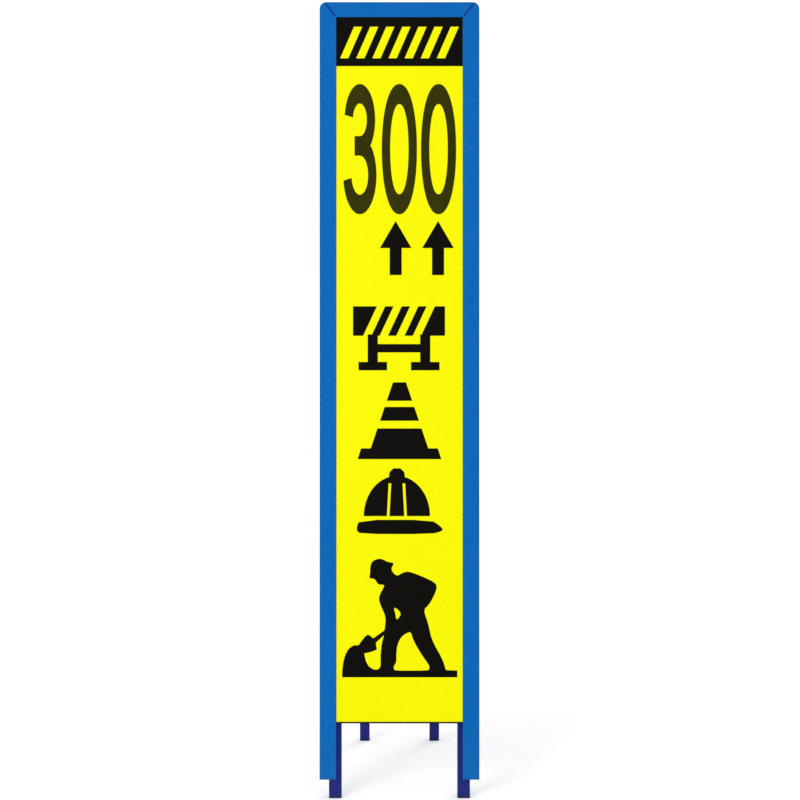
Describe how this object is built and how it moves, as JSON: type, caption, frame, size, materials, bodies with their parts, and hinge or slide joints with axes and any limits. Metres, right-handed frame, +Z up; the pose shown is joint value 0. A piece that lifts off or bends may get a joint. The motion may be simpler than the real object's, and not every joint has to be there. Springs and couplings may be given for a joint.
{
  "type": "roadworks sign frame",
  "caption": "Slim free-standing roadworks sign: a tall yellow plate in a blue frame that leans back on square-tube legs, with a folding rear leg frame held by a hooked stay.",
  "frame": {"origin": "on the ground, at the middle of the footprint of the four feet", "axes": "+Z up, the sign face looks towards -Y and leans back, +X to the right seen from the front"},
  "size_m": [0.315, 0.4688, 1.5457],
  "materials": {
    "blue_paint": "semi-gloss blue paint",
    "blue_caps": "moulded blue plastic",
    "weld_paint": "darker blue touch-up paint over the weld",
    "plate_steel": "zinc-coated sheet steel",
    "yellow_sheeting": "yellow reflective sheeting",
    "black_film": "black cut film",
    "number_film": "olive-black cut film",
    "edge_trim": "black edge trim",
    "indigo_paint": "semi-gloss indigo paint",
    "stay_zinc": "zinc-plated flat steel",
    "navy_caps": "moulded navy plastic",
    "zinc": "zinc plate",
    "nylon": "natural nylon"
  },
  "bodies": {
    "frame": {"left_upright": "blue_paint", "right_upright": "blue_paint", "top_rail": "blue_paint", "upright_caps": "blue_caps", "corner_welds": "weld_paint", "sign_plate": "plate_steel", "plate_studs": "plate_steel", "face_sheeting": "yellow_sheeting", "header_film": "black_film", "arrow_film": "black_film", "barrier_film": "black_film", "cone_film": "black_film", "helmet_film": "black_film", "worker_film": "black_film", "number_film": "number_film", "edge_trim": "edge_trim", "left_leg": "indigo_paint", "right_leg": "indigo_paint", "bottom_rail": "indigo_paint", "lower_crossbar": "indigo_paint", "hinge_crossbar": "indigo_paint", "left_hinge_bracket": "indigo_paint", "right_hinge_bracket": "indigo_paint", "stay_bracket": "indigo_paint", "left_front_foot": "navy_caps", "right_front_foot": "navy_caps", "leg_top_caps": "navy_caps", "leg_bolts": "zinc", "leg_washers": "zinc", "rivet_nuts": "zinc", "stud_washers": "zinc", "stud_nuts": "zinc", "hinge_bolts": "zinc", "hinge_nuts": "zinc", "hinge_washers": "zinc", "stay_bolt": "zinc", "stay_nut": "zinc", "stay_washers": "zinc", "thrust_washers": "nylon"},
    "rear_leg": {"left_rear_leg": "indigo_paint", "right_rear_leg": "indigo_paint", "left_rear_foot": "navy_caps", "right_rear_foot": "navy_caps", "rear_top_caps": "navy_caps", "hinge_sleeves": "zinc", "rear_tie": "indigo_paint", "hook_bar": "indigo_paint"},
    "stay": {"stay_bar": "stay_zinc", "stay_hook": "stay_zinc"}
  },
  "joints": [
    {"name": "rear_leg_fold", "type": "hinge", "parent": "frame", "child": "rear_leg", "pos_m": [0, 0.02411, 1.20246], "axis": [-1, 0, 0], "range_deg": [0, 19.45]},
    {"name": "stay_swing", "type": "hinge", "parent": "frame", "child": "stay", "pos_m": [0, -0.1287, 0.33583], "axis": [1, 0, 0], "range_deg": [0, 81]}
  ]
}
